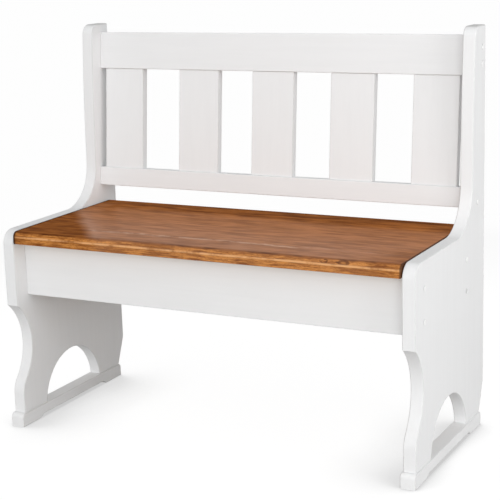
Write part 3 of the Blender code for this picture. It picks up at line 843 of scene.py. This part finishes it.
def slat_tree():
    """A slat with rounded long edges and a tongue at each end, on every point."""
    tree, given, out = geometry_tree("Slat row", {
        "Width": 0.1, "Thickness": 0.02, "Length": 0.24, "Edge Radius": 0.0015,
        "Tongue Thickness": 0.0095, "Tongue Length": 0.009, "Lean": 0.0})
    points, width, thickness, tall, radius, tongue_thickness, tongue_length, lean, finish = given
    section = take(tree, "GeometryNodeCurvePrimitiveQuadrilateral", {"Width": width, "Height": thickness})
    rounded = take(tree, "GeometryNodeFilletCurve", {"Curve": section, "Radius": radius, "Count": 6},
                   mode="POLY")
    flat = take(tree, "GeometryNodeFillCurve", {"Curve": rounded}, mode="NGONS")
    walls = take(tree, "GeometryNodeExtrudeMesh", {"Mesh": flat, "Offset": combine(tree, z=tall),
                                                   "Offset Scale": 1.0, "Individual": False})
    both = put(tree, "GeometryNodeJoinGeometry", {0: walls})
    feed(both, {0: take(tree, "GeometryNodeFlipFaces", {"Mesh": flat})})
    size = combine(tree, width - TONGUE_IN, tongue_thickness, tall + tongue_length * 2.0)
    cube = take(tree, "GeometryNodeMeshCube", {"Size": size})
    tongue = take(tree, "GeometryNodeTransform", {"Geometry": cube,
                                                  "Translation": combine(tree, z=tall * 0.5)})
    union = put(tree, "GeometryNodeMeshBoolean", operation="UNION", solver="EXACT")
    for part in (welded(Value(both.outputs[0])), tongue):
        feed(union, {"Mesh 2": part})
    x, y, _ = here(tree)
    on_edge = (abs(x) > width * 0.5 - radius * NEARLY) * (abs(y) > thickness * 0.5 - radius * NEARLY)
    marked = take(tree, "GeometryNodeStoreNamedAttribute",
                  {"Geometry": Value(union.outputs[0]), "Name": "arris", "Value": on_edge},
                  data_type="FLOAT", domain="POINT")
    row = take(tree, "GeometryNodeInstanceOnPoints",
               {"Points": points, "Instance": marked, "Rotation": combine(tree, lean)})
    send_out(out, row, finish)
    return tree


def facing_points(points, solid):
    """A solid on every point, its Z axis turned to the point's aim and its width to the point's spread."""
    tree = solid.tree
    aim = take(tree, "GeometryNodeInputNamedAttribute", {"Name": "aim"}, data_type="FLOAT_VECTOR")
    wide = take(tree, "GeometryNodeInputNamedAttribute", {"Name": "spread"}, data_type="FLOAT")
    turn = take(tree, "FunctionNodeAlignRotationToVector", {"Vector": aim}, axis="Z")
    return take(tree, "GeometryNodeInstanceOnPoints", {"Points": points, "Instance": solid, "Rotation": turn,
                                                       "Scale": combine(tree, wide, wide, 1.0)})


def cap_tree():
    """A domed screw cap with its plug, on every point."""
    tree, given, out = geometry_tree("Screw caps", {
        "Radius": 0.0066, "Dome": 0.0018, "Stem Radius": 0.0059, "Stem Length": 0.0035,
        "Clearance": 0.0003, "Sides": 40})
    points, radius, dome, stem_radius, stem, clearance, sides, finish = given
    low = stem * -1.0
    profile = [(0.0, low), (stem_radius, low), (stem_radius, clearance), (radius, clearance)]
    # the dome is a little fuller than a round one
    for k in range(1, CAP_STEPS + 1):
        turn = math.pi / 2 * k / CAP_STEPS
        reach = math.cos(turn) ** 0.75 if k < CAP_STEPS else 0.0
        profile.append((radius * reach, clearance + dome * math.sin(turn) ** 0.9))
    send_out(out, facing_points(points, turned_solid(tree, sides, profile)), finish)
    return tree


def screw_tree():
    """A countersunk screw with a cross recess, on every point, its head at the point."""
    tree, given, out = geometry_tree("Wood screws", {
        "Length": 0.05, "Shank Radius": 0.0025, "Head Radius": 0.0048, "Head Height": 0.003, "Sides": 40})
    points, long, shank, head, head_height, sides, finish = given
    blank = turned_solid(tree, sides, [
        (0.0, 0.0), (head * 0.94, 0.0), (head, head_height * 0.08), (head, head_height * 0.35),
        (shank, head_height), (shank, long - shank * 3.0), (0.0, long)])
    cross = put(tree, "GeometryNodeMeshBoolean", {"Mesh 1": blank}, operation="DIFFERENCE", solver="EXACT")
    arm, slim, deep = head * 1.15, head * 0.26, head_height * 1.3
    for across, along in ((arm, slim), (slim, arm)):
        bit = take(tree, "GeometryNodeMeshCube", {"Size": combine(tree, across, along, deep)})
        feed(cross, {"Mesh 2": bit})
    send_out(out, facing_points(points, welded(Value(cross.outputs[0]))), finish)
    return tree


# Outlines

# how many steps each curve of a side view has
EDGE_STEPS, RAIL_STEPS, SEAT_NOSE_STEPS, FOOT_NOSE_STEPS, OGEE_STEPS = 4, 5, 24, 10, 14
ARCH_STEPS, TOE_STEPS, LEG_STEPS = 64, 14, 40
NOSE_STEPS, HOLLOW_STEPS, BEND_STEPS, CREST_STEPS = 18, 36, 10, 18
FACE_STEPS = 6          # across the rounded edge of a panel or foot rail
HEEL_RADIUS = 0.020
CREST_REAR = 1.2        # the crest's rear corner is this much rounder than the panel's long edges
CUT_END = (0.0003, 1)   # slight chamfer where a rail or apron is sawn off


def back_frame(s):
    """Foot point, upward and backward directions of the back's face, and how far up the top rail starts."""
    foot = Vector((PANEL[1].y - s.lower_set, SEAT[1].z + s.lower_rise))
    line = Vector((PANEL[1].y - s.top_set, PANEL[1].z - s.top_drop)) - foot
    up = line.normalized()
    return foot, up, Vector((up.y, -up.x)), line.length - s.top_height


def rail_outline(s, bottom, height, groove_side):
    """Section of a back rail with the slat groove in its top (+1) or bottom (-1) edge."""
    foot, up, behind, _ = back_frame(s)
    middle = s.slat_recess + s.slat_thickness / 2
    near, far = middle - s.groove_width / 2, middle + s.groove_width / 2
    level, other = (bottom + height, bottom) if groove_side > 0 else (bottom, bottom + height)
    floor = level - groove_side * s.groove_depth
    edge = (s.rail_edge, RAIL_STEPS)
    corners = [(0.0, level, *edge), (near, level), (near, floor), (far, floor), (far, level),
               (s.rail_thickness, level, *edge), (s.rail_thickness, other, *edge), (0.0, other, *edge)]
    return [foot + behind * p.x + up * p.y for p in outline(corners)]


def panel_outline(s):
    """Side view of an end panel, from the crest round the back, along the foot and up the front."""
    face, rear, low, high = PANEL[0].y, PANEL[1].y, PANEL[0].z, PANEL[1].z
    level = SEAT[1].z
    rise = math.asin(math.sqrt(s.leg_hollow ** 2 - (s.leg_hollow - s.leg_hollow_depth) ** 2) / s.leg_hollow)
    hollow_y = face + s.leg_hollow_depth - s.leg_hollow
    toe_y = face + s.toe_set + s.toe_radius
    meet = math.acos((toe_y - hollow_y) / (s.leg_hollow + s.toe_radius))
    toe_z = s.leg_hollow_height - (s.leg_hollow + s.toe_radius) * math.sin(meet)
    spring = math.asin((low - s.arch_height) / s.arch_radius)
    arch = arc(face + s.arch_set, s.arch_height, s.arch_radius, spring, math.pi - spring, ARCH_STEPS)
    toe = arc(toe_y, toe_z, s.toe_radius, math.pi, math.pi - meet, TOE_STEPS)
    leg = arc(hollow_y, s.leg_hollow_height, s.leg_hollow, -meet, rise, LEG_STEPS)[1:]
    foot = Vector((rear - s.post_foot, level))
    bend = Vector((rear - s.post_mid, (level + s.arm_hollow + high) / 2))
    crest = Vector((rear - s.post_top, high))
    bend_radius = s.bend_run * math.tan((foot - bend).angle(crest - bend) / 2)
    corners = [(rear, high, s.edge_radius * CREST_REAR, EDGE_STEPS),
               (rear, s.heel_height, HEEL_RADIUS, EDGE_STEPS), (rear - s.heel_set, low)]
    corners += [tuple(p) for p in arch] + [(face + s.toe_set, low)] + [tuple(p) for p in toe + leg]
    corners += [(face, level, s.arm_nose, NOSE_STEPS), (*foot, s.arm_hollow, HOLLOW_STEPS),
                (*bend, bend_radius, BEND_STEPS), (*crest, s.crest_radius, CREST_STEPS)]
    return outline(corners)


def foot_outline(s):
    """Side view of a foot rail: rounded noses on top, two pads with a shallow relief between."""
    def ogee(y0, y1, z0, z1):
        """A soft step from one height to another."""
        shares = [i / OGEE_STEPS for i in range(OGEE_STEPS + 1)]
        return [(y0 + (y1 - y0) * t, z0 + (z1 - z0) * (1 - math.cos(math.pi * t)) / 2) for t in shares]
    (front, rear), top = (FOOT[0].y, FOOT[1].y), FOOT[1].z
    nose = (s.foot_nose, FOOT_NOSE_STEPS)
    front_pad, rear_pad = front + s.front_pad, rear - s.rear_pad
    corners = [(front, 0.0), (front, top, *nose), (rear, top, *nose), (rear, 0.0)]
    corners += ogee(rear_pad, rear_pad - s.relief_run, 0, s.foot_relief)
    corners += ogee(front_pad + s.relief_run, front_pad, s.foot_relief, 0)
    return outline(corners)


def cap_nodes(side_name):
    """The caps of one panel."""
    return sorted(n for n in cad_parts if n.startswith("cap_") and n.endswith("_" + side_name))


# Operators, one for each piece or group of like pieces

class BENCH_OT_end_panels(bpy.types.Operator):
    """Build both end panels with the recesses for their screw caps"""
    bl_idname = "bench.end_panels"
    bl_label = "End panels"

    def execute(self, context):
        s, f = context.scene.bench_panels, context.scene.bench_fittings
        for side, name in SIDES:
            x_in, x_out = side * PANEL[0].x, side * PANEL[1].x
            panel = board("panel_" + name, panel_outline(s), x_in, x_out, s.edge_radius, FACE_STEPS,
                          glued_at=PANEL[0].z)
            drill(panel, [((x_out, *middle_of(node)[1:]), (-side, 0, 0), f.recess_radius, f.recess_depth)
                          for node in cap_nodes(name)])
            hand_over(panel, ["end_panel_" + name], paint("upright"))
        return {"FINISHED"}


class BENCH_OT_foot_rails(bpy.types.Operator):
    """Build the foot rail under each end panel"""
    bl_idname = "bench.foot_rails"
    bl_label = "Foot rails"
    play = 0.0006       # room round a screw's head

    def execute(self, context):
        s, f = context.scene.bench_panels, context.scene.bench_fittings
        for side, name in SIDES:
            rail = board("foot_" + name, foot_outline(s), side * FOOT[0].x, side * FOOT[1].x, s.foot_edge,
                         FACE_STEPS)
            holes = []
            for place in ("front", "rear"):
                node = "screw_foot_%s_%s" % (place, name)
                x, y, _ = middle_of(node)
                holes.append(((x, y, 0.0), (0, 0, 1), f.head_radius + self.play,
                              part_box(node)[0].z + f.head_height))
            drill(rail, holes)
            hand_over(rail, ["foot_rail_" + name], paint("front to back"))
        return {"FINISHED"}


class BENCH_OT_seat_board(bpy.types.Operator):
    """Build the stained seat board with its rounded nose"""
    bl_idname = "bench.seat_board"
    bl_label = "Seat board"
    lip_gap = 0.001     # between the seat's lip and the front apron

    def execute(self, context):
        s = context.scene.bench_boards
        low, high = SEAT
        front, below, back = low.y - s.seat_proud, low.z - s.seat_lip, FRONT_APRON[0].y - self.lip_gap
        edge = (s.seat_edge, EDGE_STEPS)
        corners = [(front, below, *edge), (front, high.z, s.seat_nose, SEAT_NOSE_STEPS),
                   (high.y, high.z, *edge), (high.y, low.z, *edge), (back, low.z), (back, below)]

        def nose(point):
            """1 on the front of the nose, fading where it runs out into the top."""
            return max(0.0, min(1.0, 1.0 - (point.x - front) / s.seat_nose))
        seat = board("seat", outline(corners), low.x, high.x, s.seat_end, EDGE_STEPS, nose)
        hand_over(seat, ["seat_board"], material("Stained seat", stained_seat))
        return {"FINISHED"}


class BENCH_OT_aprons(bpy.types.Operator):
    """Build the front and rear aprons under the seat"""
    bl_idname = "bench.aprons"
    bl_label = "Aprons"

    def execute(self, context):
        edge = (context.scene.bench_boards.apron_edge, RAIL_STEPS)
        for name in ("front_apron", "rear_apron"):
            low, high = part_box(name)
            corners = [(low.y, low.z, *edge), (low.y, high.z, *edge), (high.y, high.z, *edge),
                       (high.y, low.z, *edge)]
            apron = board(name + "_board", outline(corners), low.x, high.x, *CUT_END)
            hand_over(apron, [name], paint("level"))
        return {"FINISHED"}


class BENCH_OT_back_rails(bpy.types.Operator):
    """Build the top and lower rails of the back with their slat grooves"""
    bl_idname = "bench.back_rails"
    bl_label = "Back rails"

    def execute(self, context):
        s = context.scene.bench_boards
        *_, top_up = back_frame(s)
        for node, bottom, height, groove_side in (("lower_rail", 0.0, s.lower_height, 1),
                                                  ("top_rail", top_up, s.top_height, -1)):
            points = rail_outline(s, bottom, height, groove_side)
            rail = board("back_" + node, points, LOWER_RAIL[0].x, LOWER_RAIL[1].x, *CUT_END)
            hand_over(rail, [node], paint("level"))
        return {"FINISHED"}


class BENCH_OT_slats(bpy.types.Operator):
    """Build the row of back slats, standing in the rails' grooves"""
    bl_idname = "bench.slats"
    bl_label = "Back slats"

    def execute(self, context):
        s = context.scene.bench_boards
        foot, up, behind, top_up = back_frame(s)
        start = foot + behind * (s.slat_recess + s.slat_thickness / 2) + up * (s.lower_height + s.fit)
        first = -PANEL[0].x + s.slat_end_gap + s.slat_width / 2
        pitch = -2 * first / (len(s.slat_drift) - 1)
        places = [(first + i * pitch + drift, start.x, start.y) for i, drift in enumerate(s.slat_drift)]
        row = points_object("slats", places)
        grow(row, slat_tree(), {
            "Width": s.slat_width, "Thickness": s.slat_thickness,
            "Length": top_up - s.lower_height - 2 * s.fit, "Edge Radius": s.slat_edge,
            "Tongue Thickness": s.tongue_thickness, "Tongue Length": s.tongue_length,
            "Lean": -math.atan2(up.x, up.y), "Material": paint("upright")})
        hand_over(row, ["back_slat_%d" % (i + 1) for i in range(len(places))])
        return {"FINISHED"}


class BENCH_OT_cleats(bpy.types.Operator):
    """Give the two cleats under the seat their bare wood"""
    bl_idname = "bench.cleats"
    bl_label = "Seat cleats"

    def execute(self, context):
        for _, name in SIDES:
            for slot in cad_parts["seat_cleat_" + name].material_slots:
                slot.material = material("Raw softwood", raw_wood)
        return {"FINISHED"}


class BENCH_OT_caps(bpy.types.Operator):
    """Build the domed caps over the screws of both panels"""
    bl_idname = "bench.caps"
    bl_label = "Screw caps"

    def execute(self, context):
        f, fit = context.scene.bench_fittings, context.scene.bench_boards.fit
        places, aims, spreads, nodes = [], [], [], []
        for side, name in SIDES:
            for node in cap_nodes(name):
                low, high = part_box(node)
                rim = max(side * low.x, side * high.x) - f.cap_dome - fit
                places.append((side * rim, *middle_of(node)[1:]))
                aims.append((side, 0.0, 0.0))
                spreads.append((high.y - low.y) / 2 / f.cap_radius)
                nodes.append(node)
        caps = points_object("screw_caps", places, aims, spreads)
        grow(caps, cap_tree(), {
            "Radius": f.cap_radius, "Dome": f.cap_dome, "Stem Radius": f.cap_stem_radius,
            "Stem Length": f.cap_stem, "Clearance": fit, "Sides": f.round_sides,
            "Material": material("Screw cap", cap_plastic)})
        hand_over(caps, nodes)
        return {"FINISHED"}


class BENCH_OT_screws(bpy.types.Operator):
    """Build the screws of the panels, the feet and the cleats"""
    bl_idname = "bench.screws"
    bl_label = "Screws"

    def execute(self, context):
        f = context.scene.bench_fittings
        tree = screw_tree()
        long_screw = (f.shank_radius, f.head_radius, f.head_height)
        short_screw = (f.small_shank_radius, f.small_head_radius, f.small_head_height)
        for group, words, sizes in (("screws_panel", ("_rail_", "_apron_"), long_screw),
                                    ("screws_foot", ("_foot_",), long_screw),
                                    ("screws_cleat", ("_cleat_",), short_screw),
                                    ("screws_seat", ("_seat_",), short_screw)):
            nodes = sorted(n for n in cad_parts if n.startswith("screw_") and any(w in n for w in words))
            places, aims = [], []
            for node in nodes:
                low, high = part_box(node)
                x, y, z = middle_of(node)
                side = 1 if x > 0 else -1
                if group in ("screws_foot", "screws_seat"):
                    places.append((x, y, low.z))
                    aims.append((0.0, 0.0, 1.0))
                    long = high.z - low.z
                else:
                    outward = side if group == "screws_cleat" else -side
                    places.append((low.x if outward > 0 else high.x, y, z))
                    aims.append((outward, 0.0, 0.0))
                    long = high.x - low.x
            row = points_object(group, places, aims, [1.0] * len(places))
            shank, head, head_height = sizes
            grow(row, tree, {"Length": long, "Shank Radius": shank, "Head Radius": head,
                             "Head Height": head_height, "Sides": f.round_sides,
                             "Material": material("Zinc plate", zinc_plate)})
            hand_over(row, nodes)
        return {"FINISHED"}


# Stage

WHITE = (1.0, 1.0, 1.0)
LAMPS = (("front", (3.3, -6.9, 1.1), (0.0, 0.0, 0.45), 5.5),    # name, place, what it looks at, size
         ("side", (2.5, -0.5, 1.1), (0.3, 0.0, 0.45), 1.4),
         ("rear", (-2.8, 4.4, 0.7), (0.0, 0.0, 0.45), 1.6))
FLOOR_REACH = 30.0
FLOOR_DROP = 0.0002     # the floor lies this far below the feet, so that the two never share a plane


def light_rays(tree):
    """1 for diffuse rays, and 1 for rays that should see the plain white surroundings."""
    rays = put(tree, "ShaderNodeLightPath").outputs
    diffuse, camera, glossy, clear = (Value(rays["Is %s Ray" % kind])
                                      for kind in ("Diffuse", "Camera", "Glossy", "Transmission"))
    return diffuse, greatest(camera, greatest(glossy, clear))


def contact(tree, distance, samples, **normal):
    """How much stands close by, doubled."""
    near = take(tree, "ShaderNodeAmbientOcclusion", {"Distance": distance, **normal}, "AO", samples=samples)
    return (1.0 - near) * 2.0


def studio_floor(shader, place, _, settings):
    """Pale floor that keeps the shadow near the bench and runs out into plain white."""
    tree = place.tree
    far = ramp(vector_maths("LENGTH", place, output="Value"), 0.75, 2.4)
    diffuse, seen = light_rays(tree)
    feed(shader, {"Base Color": blend(diffuse, settings.floor, settings.floor_bounce), "Roughness": 0.8,
                  "Specular IOR Level": 0.0})
    # a narrow dark line round the feet, and a wider pool on their inner sides
    inward = combine(tree, ramp(split(place)[0], -0.3, 0.3, -0.8, 0.8), 0.3, 0.52)
    line = least(contact(tree, 0.10, 16), 1.12)
    pool = least(contact(tree, 0.22, 16, Normal=inward), 1.0)
    touch = least(contact(tree, 0.02, 12), 1.0)
    shade = greatest(greatest(line ** 2.5 * 0.32, pool ** 1.8 * 0.28), touch ** 1.5 * 0.36)
    white = take(tree, "ShaderNodeEmission", {"Color": WHITE,
                                              "Strength": ramp(far, 0.0, 1.0, 1.05, 0.99) * (1.0 - shade)})
    mixed = take(tree, "ShaderNodeMixShader", {0: greatest(far, 0.90) * seen, 1: Value(shader.outputs[0]),
                                               2: white})
    feed(tree.nodes["Material Output"], {"Surface": mixed})


def studio_world(s):
    """Soft light, strongest from the front; the background itself is plain white."""
    world = bpy.data.worlds.new("Studio")
    bpy.context.scene.world = world
    world.use_nodes = True
    tree = world.node_tree
    x, y, z = split(take(tree, "ShaderNodeTexCoord", output="Generated"))
    depth = take(tree, "ShaderNodeMix", {0: y > 0.0, 2: s.sky_front, 3: s.sky_rear})
    strength = x * x * s.sky_side + y * y * depth + z * z * s.sky_top
    light = feed(tree.nodes["Background"], {"Color": WHITE, "Strength": strength})
    white = take(tree, "ShaderNodeBackground", {"Color": WHITE, "Strength": 1.0})
    mixed = take(tree, "ShaderNodeMixShader", {0: light_rays(tree)[1], 1: Value(light.outputs[0]), 2: white})
    feed(tree.nodes["World Output"], {"Surface": mixed})


def soft_lamp(name, place, target, size, power):
    """A large square lamp that looks at a point."""
    data = bpy.data.lights.new(name, "AREA")
    data.shape = "SQUARE"
    data.size = size
    data.energy = power
    lamp = add_object(name, data)
    lamp.location = place
    lamp.visible_camera = False
    lamp.rotation_mode = "QUATERNION"
    lamp.rotation_quaternion = (Vector(target) - Vector(place)).to_track_quat("-Z", "Y")
    return lamp


def stand_camera(s):
    """The camera, at the photograph's viewing angle."""
    data = bpy.data.cameras.new("camera")
    data.sensor_width = 36.0
    data.lens = s.lens
    camera = add_object("camera", data)
    a, e, r = s.azimuth, s.elevation, s.roll
    look = Vector((-math.sin(a) * math.cos(e), math.cos(a) * math.cos(e), -math.sin(e)))
    right = Vector((math.cos(a), math.sin(a), 0.0))
    up = right.cross(look)
    right, up = (right * math.cos(r) + up * math.sin(r)), (up * math.cos(r) - right * math.sin(r))
    turn = Matrix((right, up, -look)).transposed()
    camera.matrix_world = Matrix.Translation(s.place) @ turn.to_4x4()
    bpy.context.scene.camera = camera


class BENCH_OT_stage(bpy.types.Operator):
    """Set up the floor, the lamps and the camera"""
    bl_idname = "bench.stage"
    bl_label = "Stage"

    def execute(self, context):
        s = context.scene.bench_stage
        bm = bmesh.new()
        bmesh.ops.create_grid(bm, x_segments=1, y_segments=1, size=FLOOR_REACH)
        floor = new_object("studio_floor", bm)
        floor.location.z = -FLOOR_DROP
        floor.data.materials.append(material("Studio floor", studio_floor, s))
        studio_world(s)
        for name, place, target, size in LAMPS:
            lamp = soft_lamp(name + "_lamp", place, target, size, getattr(s, name))
            lamp.visible_glossy = name != "rear"
        stand_camera(s)
        context.scene.view_settings.view_transform = "Standard"
        return {"FINISHED"}


class BENCH_PT_sidebar(bpy.types.Panel):
    """Bench builder in the sidebar"""
    bl_idname = "BENCH_PT_sidebar"
    bl_label = "Bench"
    bl_space_type = "VIEW_3D"
    bl_region_type = "UI"
    bl_category = "Bench"

    def draw(self, context):
        layout = self.layout
        for name in STEPS:
            layout.operator("bench." + name)
        for group in GROUPS:
            box = layout.box()
            settings = getattr(context.scene, group)
            box.label(text=settings.bl_rna.description)
            for prop in settings.bl_rna.properties:
                if prop.identifier not in ("rna_type", "name"):
                    box.prop(settings, prop.identifier)


GROUPS = {"bench_panels": BenchPanelSizes, "bench_boards": BenchBoardSizes,
          "bench_fittings": BenchFittingSizes, "bench_finish": BenchFinish, "bench_stage": BenchStage}
OPERATORS = (BENCH_OT_end_panels, BENCH_OT_foot_rails, BENCH_OT_seat_board, BENCH_OT_aprons,
             BENCH_OT_back_rails, BENCH_OT_slats, BENCH_OT_cleats, BENCH_OT_caps, BENCH_OT_screws,
             BENCH_OT_stage)
CLASSES = (*GROUPS.values(), *OPERATORS, BENCH_PT_sidebar)
STEPS = [op.bl_idname.split(".")[1] for op in OPERATORS]


def register():
    """Make the settings, the operators and the panel known."""
    for cls in CLASSES:
        bpy.utils.register_class(cls)
    for name, cls in GROUPS.items():
        setattr(bpy.types.Scene, name, PointerProperty(type=cls))


def unregister():
    """Take them away again."""
    for name in GROUPS:
        delattr(bpy.types.Scene, name)
    for cls in reversed(CLASSES):
        bpy.utils.unregister_class(cls)


def main():
    """Build every piece and the stage."""
    register()
    for name in STEPS:
        getattr(bpy.ops.bench, name)()


if __name__ == "__main__":
    main()
